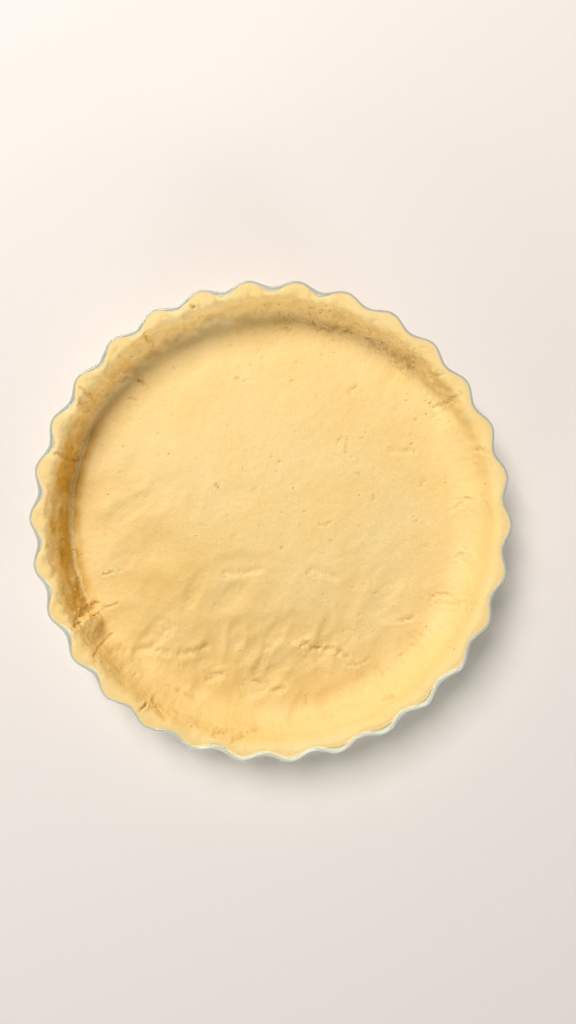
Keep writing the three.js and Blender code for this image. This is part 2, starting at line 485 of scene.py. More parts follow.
@dataclass
class GlassDish:
    """The fluted dish: two wall lines with round corners, joined by a rounded rim.

    The sizes that the frame does not give are those that the dish is pressed to.
    """

    flutes: int = 30
    flute_depth: float = 4.1 * MM
    flute_depth_at_floor: float = 1.6 * MM
    flute_run_in: float = 8.0 * MM
    base_radius: float = 127.5 * MM
    rim_thickness: float = 2.2 * MM
    wall_thickness: float = 3.6 * MM
    floor_thickness: float = 4.0 * MM
    outer_corner: float = 9.0 * MM
    inner_corner: float = 6.0 * MM
    foot_ring: float = 12.0 * MM
    foot_recess: float = 0.8 * MM
    columns_per_flute: int = 22
    corner_steps: int = 12
    wall_steps: int = 25
    rim_steps: int = 14
    floor_rings: int = 6
    foot_chamfer: float = 1.2 * MM
    height: float = field(init=False)
    rim_radius: float = field(init=False)

    def __post_init__(self) -> None:
        """Takes the height and the rim's radius from the frame."""
        low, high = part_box("glass_dish")
        self.height = high.z - low.z
        self.rim_radius = high.x - self.flute_depth / 2

    @property
    def bead_height(self) -> float:
        """Height of the middle of the rim's rounded edge."""
        return self.height - self.rim_thickness / 2

    def wall(self, inner: bool, height: np.ndarray, offset: float = 0.0) -> np.ndarray:
        """Radius of the inner or outer wall line, moved inwards at right angles to itself.

        Args:
            inner: True for the inner wall line.
            height: Heights over the table.
            offset: Move inwards.

        Returns:
            The radii.
        """
        foot = self.base_radius - (self.wall_thickness if inner else 0.0)
        top = self.rim_radius - (self.rim_thickness if inner else 0.0)
        slope = (top - foot) / self.bead_height
        return foot + slope * height - offset * math.hypot(1.0, slope)

    def reach(self, height: np.ndarray) -> np.ndarray:
        """How far a crest stands out at a height: eased in over the corner, then straight to the rim.

        Args:
            height: Heights over the table.

        Returns:
            Half the flute's depth at each height.
        """
        start = self.floor_thickness
        share = (np.minimum(height, self.bead_height) - start) / (self.bead_height - start)
        depth = self.flute_depth_at_floor + share * (self.flute_depth - self.flute_depth_at_floor)
        return smooth(start, start + self.flute_run_in, height) * depth / 2

    def wave(self, angle: np.ndarray) -> np.ndarray:
        """1 on a crest and -1 in a valley, along a cosine."""
        return np.cos(self.flutes * angle)

    def inside(self, angle: np.ndarray, height: np.ndarray, gap: np.ndarray | float = 0.0) -> np.ndarray:
        """Radius of the glass's inner face, less a gap."""
        return self.wall(True, height) - gap + self.reach(height) * self.wave(angle)

    def corner(self, inner: bool, floor: float, radius: float) -> np.ndarray:
        """Arc from the level floor to a wall line.

        Args:
            inner: True for the inner wall line.
            floor: Height of the floor.
            radius: The arc's radius.

        Returns:
            (radius, height) points from the floor's end to the wall's.
        """
        middle = self.wall(inner, floor + radius, radius)
        slope = self.wall(inner, 1.0) - self.wall(inner, 0.0)
        turn = np.linspace(-math.pi / 2, -math.atan(slope), self.corner_steps + 1)
        return np.stack([middle + radius * np.cos(turn), floor + radius + radius * np.sin(turn)], axis=-1)

    def profile(self) -> np.ndarray:
        """Half section from the middle of the underside, up the outside, over the rim and back in.

        Returns:
            (radius, height) points, without the two on the axis.
        """
        outer = self.corner(False, 0.0, self.outer_corner)
        inner = self.corner(True, self.floor_thickness, self.inner_corner)
        ring = outer[0, 0] - self.foot_ring
        rings = np.linspace(0.15, 0.97, self.floor_rings)
        chamfer = np.linspace(0.0, 1.0, 5)
        chamfer_r = ring - self.foot_chamfer * (1 - chamfer)
        outer_z = np.linspace(outer[-1, 1], self.bead_height, self.wall_steps + 1)[1:]
        inner_z = np.linspace(inner[-1, 1], self.bead_height, self.wall_steps + 1)[:0:-1]
        turn = np.linspace(0.0, math.pi, self.rim_steps + 1)[1:-1]
        bead = self.rim_thickness / 2
        parts = (
            (rings * ring, np.full(self.floor_rings, self.foot_recess)),
            (chamfer_r, self.foot_recess * (1 - smooth(0.0, 1.0, chamfer))),
            outer.T,
            (self.wall(False, outer_z), outer_z),
            (self.rim_radius - bead + bead * np.cos(turn), self.bead_height + bead * np.sin(turn)),
            (self.wall(True, inner_z), inner_z),
            inner[::-1].T,
            (rings[::-1] * inner[0, 0], np.full(self.floor_rings, self.floor_thickness)),
        )
        return np.concatenate([np.stack(part, axis=-1) for part in parts])

    def build(self, finish: PressedGlass) -> bpy.types.Object:
        """Turns the profile round the axis, with each ring moved in and out by the flutes' wave.

        Args:
            finish: The glass.

        Returns:
            The dish.
        """
        section = self.profile()
        columns = self.flutes * self.columns_per_flute
        angle = np.linspace(0.0, 2 * math.pi, columns, endpoint=False)[None, :]
        radius, height = section[:, :1], section[:, 1:]
        points = polar(radius + self.reach(height) * self.wave(angle), angle, height).reshape(-1, 3)
        poles = np.array([[0, 0, self.foot_recess], [0, 0, self.floor_thickness]])
        first, last = np.arange(columns), np.arange(columns) + (len(section) - 1) * columns
        faces = [
            grid_quads(len(section), columns, True)[:, ::-1],
            fan(len(points), first[::-1]),
            fan(len(points) + 1, last),
        ]
        dish = make_object("pressed_glass_dish", np.concatenate([points, poles]), faces)
        place(dish, finish.material(), "glass", Body.DISH, "glass_dish")
        return dish


# ---------------------------------------------------------------------------- relief in the pastry


@dataclass(frozen=True)
class Crease:
    """A groove left where the pastry was folded or pressed apart, as a broken line in plan, in mm."""

    line: tuple[tuple[float, float], ...]
    width: float
    depth: float
    ragged: float = 0.8
    lip: float = 0.28  # height of the lip on each side, as a share of the depth

    @property
    def corners(self) -> list[tuple[float, float]]:
        """The line's corners in metres."""
        return [(x * MM, y * MM) for x, y in self.line]

    @property
    def shade_share(self) -> float:
        """How far the bottom of the groove is darkened with painted shade: a broad one is only a dent."""
        return min(max((1.9 - self.width) / 0.7, 0.0), 1.0)

    def cut(self, x: np.ndarray, y: np.ndarray, stir: np.ndarray) -> np.ndarray:
        """Depth of the groove at each point: e^-(d/w)^2, with the distance d stirred by noise, less a
        low lip on each side.

        Args:
            x: Point coordinates in metres.
            y: Point coordinates in metres.
            stir: Noise that makes the groove wander and come and go.

        Returns:
            Depths in metres, below zero on the lips.
        """
        x, y = x + stir[..., 0] * self.ragged * MM, y + stir[..., 1] * self.ragged * MM
        away = line_distance(x, y, self.corners) / (self.width * MM)
        come_and_go = np.clip(1.0 + 0.9 * stir[..., 2], 0.2, 1.5)
        return self.depth * MM * come_and_go * (np.exp(-(away**2)) - self.lip * np.exp(-((away - 2.1) ** 2)))


FOLDS = (
    Crease(((-119, -68), (-115.5, -67), (-113, -62.5), (-112.5, -58), (-107, -53)), 1.75, 1.6, 0.9),
    Crease(((-126.5, 38), (-123, 37.5), (-120.5, 36)), 1.3, 0.9, 1.2),
    Crease(((-112, 76.5), (-109.5, 75), (-107.5, 73)), 1.4, 1, 1.2),
    Crease(((-112.5, 71), (-110, 66)), 1.7, 0.9, 1.2),
    Crease(((-76, 110), (-74, 107.5), (-72.5, 105.5)), 1.2, 0.9, 1.2),
    Crease(((-49, 126), (-46, 123.5)), 1, 1.4),
    Crease(((-96, -71), (-100.5, -75), (-102, -80.5), (-100, -87), (-96.5, -91)), 0.9, 0.5, 0.9),
    Crease(((-95, -81), (-91, -79), (-88, -81)), 1.5, 0.5),
    Crease(((-100, -92), (-98, -94), (-97, -97)), 1, 1.5, 1.6),
    Crease(((-71, -109), (-73.5, -111)), 0.9, 1.5),
    Crease(((-56, -104), (-50, -107), (-44, -110)), 0.9, 0.5),
    Crease(((-68, -108), (-59, -116)), 1.6, 0.6),
    Crease(((-103, -35), (-97, -33)), 0.8, 0.7),
    Crease(((-101, -55), (-97, -54), (-94, -52)), 0.8, 0.8),
    Crease(((-28, -33), (-17, -32), (-6, -30)), 1.7, 0.4),
    Crease(((-37, -98), (-33, -96), (-29, -95)), 1.5, 1),
    Crease(((-16, -104), (-7, -101)), 1.4, 0.6),
    Crease(((2, -104), (10, -103)), 1.3, 0.7),
    Crease(((-30, -125), (-20, -125)), 1.2, 0.5),
    Crease(((-19, -128), (-4, -125)), 1.2, 0.5),
    Crease(((-72, -79), (-66, -73), (-61, -66)), 2.6, 0.8),
    Crease(((-54, -82), (-47, -82), (-39, -78)), 1.9, 0.8),
    Crease(((-82, -81), (-72, -80), (-62, -82)), 1.8, 0.7),
    Crease(((-8, -94), (-5, -88), (-1, -79)), 2.4, 0.8),
    Crease(((-93, 84), (-89, 87)), 0.8, 0.7, 1.2),
    Crease(((-88, 74), (-84, 73)), 1, 0.5),
    Crease(((-34, 22), (-32, 18)), 0.7, 0.6),
    Crease(((30, -2), (34, -2), (37, 0)), 1.1, 0.4),
    Crease(((26, -30), (32, -31), (40, -34)), 2.2, 0.5),
    Crease(((46, 79), (51, 83)), 1.4, 0.3),
    Crease(((40, 49), (43, 51), (46, 50), (45, 42)), 1.2, 0.3),
    Crease(((121, 44), (127, 41)), 1.2, 0.5),
    Crease(((72, 44), (87, 44)), 1.6, 0.3),
    Crease(((79, -60), (87, -58)), 1.4, 0.5),
    Crease(((69, -105), (74, -103)), 1, 0.6),
)
CRUMBLED = (
    Crease(((19, -77), (23, -74), (26, -78), (36, -78), (42, -79), (48, -83)), 1.2, 0.8, 1.8),
    Crease(((47, -88), (54, -87), (61, -84)), 0.9, 0.6, 1.6),
    Crease(((94, -65), (92, -70), (81, -81), (70, -92), (65, -96)), 0.7, 0.5, 1.6),
    Crease(((99, -46), (103, -43), (108, -44)), 1, 0.6, 1.2),
    Crease(((110, -50), (116, -47)), 0.9, 0.6, 1.2),
    Crease(((112, 9), (115, 11), (118, 15)), 1, 0.9, 1.2),
    Crease(((113, -21), (116, -18)), 0.8, 0.6),
    Crease(((5, 119), (8, 118), (9, 116)), 1, 0.7, 1.2),
    Crease(((23, 122), (28, 118), (35, 116), (38, 119), (47, 116)), 1.1, 0.7, 2),
    Crease(((57, 111), (60, 108), (63, 106), (68, 106)), 1.1, 0.7, 2),
    Crease(((71, 102), (75, 101), (82, 98), (84, 93)), 1.1, 0.7, 2),
    Crease(((98, 66), (99, 71), (102, 71), (106, 74)), 1, 0.7, 1.6),
    Crease(((86, 101), (91, 103)), 1.1, 0.6, 1.2),
    Crease(((96, 87), (103, 87)), 1.3, 0.7, 1.2),
    Crease(((109, 79), (110, 75)), 1.1, 0.6, 1.2),
    Crease(((-84, 86), (-79, 83)), 0.9, 0.9, 1.6),
)


@dataclass
class PastryRelief:
    """Everything that hands and crumbs leave in the pastry's surface."""

    dents: int = 170
    nicks: int = 40
    pits: int = 150
    reach: float = 118.0 * MM
    crumble: float = 0.55 * MM  # height of the crumbled pastry's lumps
    swell: float = 0.32 * MM  # height of the slow rise and fall
    grain: float = 0.13 * MM
    # painted shade in a groove is full at this depth
    full_shade_depth: float = 0.9 * MM  # depth at which a groove is fully dark
    seed: int = 4

    def __post_init__(self) -> None:
        """Draws where the dents, nicks and pits lie."""
        rng = np.random.default_rng(self.seed)
        self.wide, self.fine, self.rough = (SpaceNoise(self.seed + n) for n in (1, 2, 3))
        self.stir = [SpaceNoise(self.seed + 4 + n) for n in range(3)]
        self.dent_x, self.dent_y = self.scatter(rng, self.dents, self.reach)
        self.dent_long = rng.uniform(8.0, 19.0, self.dents) * MM
        self.dent_wide = rng.uniform(4.5, 9.0, self.dents) * MM
        self.dent_turn = np.radians(rng.normal(52.0, 24.0, self.dents))
        low_left = smooth(-0.3, 0.8, (-0.45 * self.dent_x - self.dent_y) / self.reach)
        self.dent_depth = rng.uniform(0.10, 0.30, self.dents) * MM * (0.6 + 2.5 * low_left)
        self.pit_x, self.pit_y = self.scatter(rng, self.pits, self.reach + 10.0 * MM)
        self.pit_size = rng.uniform(0.35, 0.9, self.pits) * MM
        self.pit_depth = rng.uniform(0.3, 0.9, self.pits) * self.pit_size
        nick_x, nick_y = self.scatter(rng, self.nicks, self.reach)
        turn, length = rng.normal(30.0, 35.0, self.nicks), rng.uniform(0.6, 2.6, self.nicks)
        step_x, step_y = length * np.cos(np.radians(turn)), length * np.sin(np.radians(turn))
        widths, depths = rng.uniform(0.45, 0.8, self.nicks), rng.uniform(0.15, 0.45, self.nicks)
        self.short = [
            Crease(((x / MM - dx, y / MM - dy), (x / MM + dx, y / MM + dy)), width, depth, 1.1, 0.0)
            for x, y, dx, dy, width, depth in zip(nick_x, nick_y, step_x, step_y, widths, depths)
        ]

    @staticmethod
    def scatter(rng: np.random.Generator, count: int, reach: float) -> tuple[np.ndarray, np.ndarray]:
        """Draws points evenly over a disc of radius reach: their x and y coordinates."""
        away, turn = np.sqrt(rng.random(count)) * reach, rng.random(count) * 2 * math.pi
        return away * np.cos(turn), away * np.sin(turn)

    def lower_left_tone(self, points: np.ndarray) -> np.ndarray:
        """Share of the deeper tone, more towards the lower left of the floor and at the feet of the sides.

        Args:
            points: Points of the pastry.

        Returns:
            Shares from 0 to 0.3.
        """
        flat = points * (1.0, 1.0, 0.0)
        low = smooth(10.0 * MM, -95.0 * MM, points[..., 1] + 0.8 * points[..., 0])
        return np.clip(0.16 * low * (1.0 + 0.8 * self.wide.layered(flat, 30.0 * MM, 3)), 0.0, 0.3)

    def press(self, x: np.ndarray, y: np.ndarray) -> np.ndarray:
        """Depth of the finger dents: flat-bottomed ovals, e^-(q^2) with q = (u/a)^2 + (v/b)^2, each with
        a low welt round its edge.

        Args:
            x: Point coordinates.
            y: Point coordinates.

        Returns:
            Depths, below zero on the welts.
        """
        total = np.zeros(x.shape)
        for n in range(self.dents):
            near = np.hypot(x - self.dent_x[n], y - self.dent_y[n]) < 2.2 * self.dent_long[n]
            dx, dy = x[near] - self.dent_x[n], y[near] - self.dent_y[n]
            c, s = math.cos(self.dent_turn[n]), math.sin(self.dent_turn[n])
            q = ((dx * c + dy * s) / self.dent_long[n]) ** 2 + ((dy * c - dx * s) / self.dent_wide[n]) ** 2
            welt = 0.12 * np.exp(-(((np.sqrt(q) - 1.3) / 0.28) ** 2))
            total[near] += self.dent_depth[n] * (np.exp(-(q**2)) - welt)
        return total

    def pores(self, x: np.ndarray, y: np.ndarray) -> np.ndarray:
        """Depth of the pits where a crumb came away: e^-(d/r)^4.

        Args:
            x: Point coordinates.
            y: Point coordinates.

        Returns:
            Depths.
        """
        total = np.zeros(x.shape)
        for n in range(self.pits):
            away = np.hypot(x - self.pit_x[n], y - self.pit_y[n])
            near = away < 2.0 * self.pit_size[n]
            deep = self.pit_depth[n] * np.exp(-((away[near] / self.pit_size[n]) ** 4))
            total[near] = np.maximum(total[near], deep)
        return total

    def crumbliness(self, x: np.ndarray, y: np.ndarray) -> np.ndarray:
        """How crumbly the pastry is: most within a few millimetres of where it has crumbled.

        Args:
            x: Point coordinates.
            y: Point coordinates.

        Returns:
            Shares from 0 to 1.
        """
        away = np.full(x.shape, np.inf)
        for crease in CRUMBLED:
            away = np.minimum(away, line_distance(x, y, crease.corners))
        return np.exp(-((away / (4.5 * MM)) ** 2))

    def read(self, points: np.ndarray) -> tuple[np.ndarray, np.ndarray]:
        """Relief at each point of a surface.

        Args:
            points: Surface points before they are moved.

        Returns:
            How far each point is moved out of the pastry, and the share of painted shade in its
            hollows, from 0 to 1.
        """
        x, y = points[..., 0], points[..., 1]
        stir = np.stack([noise.layered(points, 3.2 * MM, 2) for noise in self.stir], axis=-1)
        warp_x, warp_y = x + stir[..., 0] * 0.4 * MM, y + stir[..., 1] * 0.4 * MM
        cut, lip, dark = np.zeros(x.shape), np.zeros(x.shape), np.zeros(x.shape)
        for crease in (*FOLDS, *CRUMBLED, *self.short):
            line = np.array(crease.corners)
            middle, reach = line.mean(axis=0), np.ptp(line, axis=0).max() + 9.0 * MM
            near = np.hypot(x - middle[0], y - middle[1]) < reach
            deep = crease.cut(x[near], y[near], stir[near])
            cut[near], lip[near] = np.maximum(cut[near], deep), np.minimum(lip[near], deep)
            # dark: painted shade at the bottoms of grooves and pits, fainter along crumbled seams
            faint = 0.3 if crease in CRUMBLED else 1.0
            dark[near] = np.maximum(dark[near], deep * crease.shade_share * faint)
        pores = self.pores(warp_x, warp_y)
        cut, dark = np.maximum(cut, pores), np.maximum(dark, pores)
        crumbly = self.crumbliness(x, y)
        crumb = self.crumble * crumbly * self.rough.layered(points, 2.7 * MM, 2)
        swell = self.swell * self.wide.layered(points, 38.0 * MM, 2)
        grain = self.grain * self.fine.layered(points, 6.0 * MM, 3)
        lift = swell + grain + crumb - self.press(x, y) - cut - lip
        # hollow: share of painted shade in grooves, pits and between crumbled lumps
        hollow = np.clip(dark / self.full_shade_depth, 0.0, 1.0) + 0.16 * np.clip(-crumb / (0.3 * MM), 0.0, 1.0)
        return lift, np.clip(hollow, 0.0, 1.0)


# ---------------------------------------------------------------------------- pastry base


@dataclass
class PastryBase:
    """The round sheet pressed over the floor: a square grid drawn into a disc, closed underneath."""

    dish: GlassDish
    relief: PastryRelief
    across: int = 298
    gap: float = 0.35 * MM
    level_from: float = 123.0 * MM  # radii between which the relief dies out
    level_at: float = 126.0 * MM
    # the edge's way down and in: shares of the thickness, and moves inwards from the glass in mm
    skirt_drop: tuple[float, ...] = (0.2, 0.45, 0.7, 0.88, 0.97, 1.0, 1.0, 1.0)
    skirt_inward: tuple[float, ...] = (0.0, 0.0, 0.3, 1.2, 2.4, 5.0, 45.0, 95.0)
    floor: float = field(init=False)
    top: float = field(init=False)
    radius: float = field(init=False)

    def __post_init__(self) -> None:
        """Takes the sheet's two faces and its edge from the frame."""
        low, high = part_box("pastry_base")
        self.floor, self.top = low.z, high.z
        self.radius = self.dish.wall(True, self.top, self.gap)

    def disc(self) -> np.ndarray:
        """Points of a disc of radius 1, each square shell of the grid drawn into a circle: the
        longer coordinate gives the radius, and the other over it an eighth of a turn.

        Returns:
            Grid of (x, y) points.
        """
        side = np.linspace(-1.0, 1.0, self.across)
        a, b = np.meshgrid(side, side, indexing="ij")
        wide = np.abs(a) > np.abs(b)
        safe_a, safe_b = np.where(a == 0, 1.0, a), np.where(b == 0, 1.0, b)
        radius = np.where(wide, a, b)
        turn = np.where(wide, math.pi / 4 * b / safe_a, math.pi / 2 - math.pi / 4 * a / safe_b)
        return np.stack([radius * np.cos(turn), radius * np.sin(turn)], axis=-1)

    def rim_numbers(self) -> np.ndarray:
        """Numbers of the grid's edge points, counter-clockwise from above."""
        number = np.arange(self.across**2).reshape(self.across, self.across)
        return np.concatenate([number[:-1, 0], number[-1, :-1], number[:0:-1, -1], number[0, :0:-1]])

    def deep_tone_and_shade_share(self, points: np.ndarray) -> np.ndarray:
        """Share of the deeper tone: low on the floor as on the sides, and more along the foot of the far
        left wall, where it is partly painted shade.

        Args:
            points: Points of the upper face.

        Returns:
            Shares from 0 to 1.
        """
        radius = np.hypot(points[:, 0], points[:, 1])
        degrees = np.degrees(np.arctan2(points[:, 1], points[:, 0])) % 360.0
        left = band(146.0, 166.0, 196.0, 212.0, degrees)
        clouds = self.relief.wide.layered(points, 14.0 * MM, 3)
        # foot: partly painted shade where the far left wall meets the floor
        foot = smooth(115.0 * MM, 121.0 * MM, radius) * np.clip(0.8 + 0.9 * clouds, 0.1, 1.4)
        return np.clip(self.relief.lower_left_tone(points) + 0.8 * left * foot, 0.0, 1.0)

    def build(self, finish: bpy.types.Material) -> bpy.types.Object:
        """Raises the disc by the relief, then carries its edge down the glass and in underneath.

        Args:
            finish: The dough.

        Returns:
            The sheet.
        """
        disc = self.disc() * self.radius
        top = np.concatenate([disc, np.full((*disc.shape[:2], 1), self.top)], axis=-1)
        lift, hollow = self.relief.read(top)
        under_side = smooth(self.level_from, self.level_at, np.hypot(disc[..., 0], disc[..., 1]))
        top[..., 2] += lift * (1.0 - under_side)
        grid = top.reshape(-1, 3)
        rim = self.rim_numbers()
        angle = np.arctan2(grid[rim, 1], grid[rim, 0])[None, :]
        drop, inward = np.array(self.skirt_drop)[:, None], np.array(self.skirt_inward)[:, None] * MM
        height = self.top - drop * (self.top - self.floor)
        edge = self.dish.inside(angle, height, self.gap) - inward
        skirt = polar(np.minimum(edge, self.radius), angle, height).reshape(-1, 3)
        points = np.concatenate([grid, skirt, [[0.0, 0.0, self.floor]]])
        count, ring = len(grid), len(rim)
        after = np.roll(np.arange(ring), -1)
        joined = np.stack([rim, count + np.arange(ring), count + after, rim[after]], axis=-1)
        last = count + (len(drop) - 1) * ring + np.arange(ring)
        faces = [
            grid_quads(self.across, self.across, False),
            joined,
            grid_quads(len(drop), ring, True, count),
            fan(len(points) - 1, last[::-1]),
        ]
        sheet = make_object("pastry_sheet", points, faces)
        buried = np.zeros(len(points) - count)
        # first share: deeper tone, partly painted shade by the far left wall; second: painted shade in
        # hollows
        set_attribute(sheet, "deep_tone_and_shade", np.concatenate([self.deep_tone_and_shade_share(grid), buried]))
        set_attribute(sheet, "hollow", np.concatenate([0.85 * hollow.ravel(), buried]))
        place(sheet, finish, "pastry", Body.PASTRY, "pastry_base")
        return sheet


# ---------------------------------------------------------------------------- pastry sides


@dataclass(frozen=True)
class Notch:
    """A place where the top edge of the pastry has crumbled away."""

    angle: float  # degrees
    width: float  # degrees
    depth: float  # mm


@dataclass(frozen=True)
class WallFold:
    """A fold that runs along the wall, from one angle and height to another."""

    start: tuple[float, float]  # degrees, mm
    end: tuple[float, float]
    width: float  # mm
    depth: float  # mm

    def cut(self, angle: np.ndarray, height: np.ndarray, wander: np.ndarray) -> np.ndarray:
        """Depth of the fold, e^-(d/w)^2, less a lip above it, faded out towards both ends.

        Args:
            angle: Angles in degrees.
            height: Heights in metres.
            wander: Noise that makes the fold rise and fall.

        Returns:
            Depths in metres, below zero on the lip.
        """
        share = (angle - self.start[0]) / (self.end[0] - self.start[0])
        middle = (self.start[1] + share * (self.end[1] - self.start[1]) + 2.6 * wander) * MM
        fade = band(0.0, 0.15, 0.85, 1.0, share) * np.clip(0.8 + 1.2 * wander, 0.15, 1.5)
        away = (height - middle) / (self.width * MM)
        return self.depth * MM * fade * (np.exp(-(away**2)) - 0.5 * np.exp(-((away - 2.2) ** 2)))


@dataclass(frozen=True)
class SeamSection:
    """Sizes of the side's section where it meets the base in one of the four ways, in mm."""

    hollow: float  # radius of the inside corner
    toe: float  # how far the toe runs out over the base
    proud: float  # how high the toe stands
    sunk: float  # how deep the toe's tip lies in the base
    top: float  # thickness under the rounded top edge
    shoulder: float  # height of the rounded top edge
    flutes: float  # share of the glass's flutes that the inner face shows
    lumps: float  # height of the lumps on the face


SECTIONS = {
    Seam.SMOOTHED: SeamSection(18.0, 7.0, 0.0, 0.2, 4.8, 6.0, 0.14, 0.35),
    Seam.ROLLED: SeamSection(9.0, 3.2, 0.1, 0.4, 5.0, 5.4, 0.14, 1.5),
    Seam.CREASED: SeamSection(1.7, 0.9, 0.4, 0.5, 5.0, 5.4, 0.14, 1.4),
    Seam.CRUMBLY: SeamSection(4.5, 1.6, 0.3, 0.5, 4.6, 5.2, 0.2, 0.9),
}


@dataclass
class SideShape:
    """Section of the side, as a function of the angle round the dish.

    The section is two paths of the same number of points, from the tip of the toe to the middle of
    the top edge: one along the base and up the glass, one over the toe, round the hollow corner and
    up the inner face.
    """

    dish: GlassDish
    base: PastryBase
    gap: float = 0.35 * MM
    lap_gap: float = 0.02 * MM  # between the rounded rim and the pastry that laps over it
    least_foot: float = 1.7 * MM
    bite: float = 2.0 * MM  # how deep the underside is pressed into the base
    toe_points: int = 6
    hollow_points: int = 18
    face_points: int = 26
    edge_points: int = 16
    seam_line: tuple[tuple[float, float], ...] = (  # degrees and radius in mm
        (0, 100), (22, 100), (38, 121), (88, 121), (100, 119), (112, 121), (125, 121.5),
        (135, 124), (152, 124), (168, 122), (206, 121.5), (224, 100), (360, 100),
    )
    notches: tuple[Notch, ...] = (
        Notch(34.8, 0.7, 1.6),
        Notch(60.8, 0.7, 1.6),
        Notch(79.0, 0.5, 1.2),
        Notch(111.0, 1.0, 1.4),
        Notch(124.5, 0.9, 1.6),
        Notch(209.0, 0.6, 1.8),
        Notch(223.0, 0.9, 1.6),
        Notch(248.8, 0.5, 0.8),
    )
    folds: tuple[WallFold, ...] = (
        WallFold((158.0, 20.0), (206.0, 17.0), 2.4, 0.8),
        WallFold((96.0, 18.0), (150.0, 13.5), 2.4, 0.5),
        WallFold((128.0, 23.0), (160.0, 19.0), 2.0, 0.4),
    )

    def __post_init__(self) -> None:
        """Takes the top of the side from the frame and draws the slow changes round the dish."""
        self.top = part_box("pastry_side_1")[1].z
        self.slow = SpaceNoise(31)
        self.quick = SpaceNoise(37)

    def vary(self, noise: SpaceNoise, angle: np.ndarray, cell: float, layer: float) -> np.ndarray:
        """Noise from about -1 to 1 that runs round the dish and meets itself, one field for each layer."""
        radius = self.dish.rim_radius / cell
        return noise.at(polar(np.full_like(angle, radius), angle, np.full_like(angle, layer * 7.3)))

    def share(self, kind: Seam, angle: np.ndarray) -> np.ndarray:
        """How much of one kind of seam there is at each angle; the four shares add up to 1.

        Args:
            kind: The kind of seam.
            angle: Angles.

        Returns:
            Shares from 0 to 1.
        """
        degrees = np.degrees(angle) % 360.0
        tight = band(86.0, 98.0, 208.0, 222.0, degrees)
        creased = tight * smooth(132.0, 154.0, degrees)
        crumbly = band(24.0, 40.0, 86.0, 98.0, degrees)
        return {
            Seam.SMOOTHED: 1.0 - tight - crumbly,
            Seam.ROLLED: tight - creased,
            Seam.CREASED: creased,
            Seam.CRUMBLY: crumbly,
        }[kind]

    def size(self, name: str, angle: np.ndarray) -> np.ndarray:
        """A size of the section at each angle, as in SeamSection, blended between the kinds of seam."""
        return sum(self.share(kind, angle) * getattr(section, name) for kind, section in SECTIONS.items())

    def seam(self, angle: np.ndarray) -> np.ndarray:
        """Radius of the toe's tip, which wanders as the pastry was cut and pressed."""
        degrees = np.degrees(angle) % 360.0
        ragged = self.vary(self.slow, angle, 14 * MM, 7.0) + 0.5 * self.vary(self.quick, angle, 3.5 * MM, 7.0)
        return np.interp(degrees, *zip(*self.seam_line)) * MM - (0.6 + 1.1 * ragged) * MM

    def edge_height(self, angle: np.ndarray) -> np.ndarray:
        """Height of the top edge: lower in the valleys of the glass, lowest on the far left, crumbled
        at the notches.

        Args:
            angle: Angles.

        Returns:
            Heights.
        """
        degrees = np.degrees(angle) % 360.0
        bare = band(70.0, 120.0, 200.0, 225.0, degrees)
        valley = (1.0 - self.dish.wave(angle)) / 2
        drop = valley**1.5 * (0.3 + 2.2 * bare * (0.7 + 0.6 * self.vary(self.slow, angle, 30 * MM, 1.0)))
        drop += 0.3 * np.abs(self.vary(self.quick, angle, 2.5 * MM, 2.0))
        drop += 0.5 * np.clip(self.vary(self.slow, angle, 9 * MM, 3.0), 0.0, 1.0)
        for notch in self.notches:
            drop += notch.depth * np.exp(-(((degrees - notch.angle) / notch.width) ** 2))
        return self.top - np.maximum(drop, 0.0) * MM

    def shrinkage(self, angle: np.ndarray) -> np.ndarray:
        """How far the top edge has come away from the glass: thin crescents on five crests low on the
        right, and less anywhere else.

        Args:
            angle: Angles.

        Returns:
            Gaps.
        """
        degrees = np.degrees(angle) % 360.0
        gap = 0.15 * np.clip(self.vary(self.slow, angle, 12 * MM, 4.0), 0.0, 1.0)
        for crest, width in ((258.0, 0.6), (276.0, 0.3), (287.5, 1.2), (299.5, 1.3), (312.5, 0.9)):
            gap = gap + width * np.exp(-(((degrees - crest) / 2.6) ** 4))
        return gap * MM

    def outer_edge(self, angle: np.ndarray) -> tuple[np.ndarray, np.ndarray]:
        """Where the pastry ends outwards at the top: it laps over the inner half of the glass's rounded
        rim, less in the valleys on the far left and above, and hardly at all where it has shrunk.

        Args:
            angle: Angles.

        Returns:
            Radius and height of the edge.
        """
        degrees = np.degrees(angle) % 360.0
        bead = self.dish.rim_thickness / 2
        valley = (1.0 - self.dish.wave(angle)) / 2
        bare = band(66.0, 84.0, 216.0, 232.0, degrees)
        low = band(240.0, 258.0, 318.0, 334.0, degrees)
        short = 0.36 + 0.3 * np.abs(self.vary(self.quick, angle, 6 * MM, 9.0))
        short = short * MM + 1.8 * MM * bare * valley**2 + 0.8 * MM * low + self.shrinkage(angle)
        middle = self.dish.rim_radius - bead + self.dish.reach(self.dish.bead_height) * self.dish.wave(angle)
        over = np.sqrt(np.maximum((bead + self.lap_gap) ** 2 - short**2, 0.0))
        return middle - short, self.dish.bead_height + over

    def inner_face(self, angle: np.ndarray, height: np.ndarray) -> np.ndarray:
        """Radius of the inner face: a straight slope that still shows a share of each flute, and
        wanders where a thumb pressed more or less.

        Args:
            angle: Angles.
            height: Heights.

        Returns:
            The radii.
        """
        foot_r = self.dish.wall(True, self.base.top)
        foot = foot_r - self.seam(angle) - (self.size("hollow", angle) + self.size("toe", angle)) * MM
        foot = np.maximum(foot, self.least_foot)
        share = (height - self.base.top) / (self.top - 6.0 * MM - self.base.top)
        thick = foot + share * (self.size("top", angle) * MM - foot)
        thick = thick + 0.6 * MM * self.vary(self.slow, angle, 20 * MM, 5.0)
        flutes = self.size("flutes", angle) * self.dish.reach(height) * self.dish.wave(angle)
        return self.dish.wall(True, height) - thick + flutes

    @staticmethod
    def steps(count: int) -> np.ndarray:
        """Even shares up to 1, without the 0 they start from, in one row."""
        return np.linspace(0.0, 1.0, count + 1)[None, 1:]

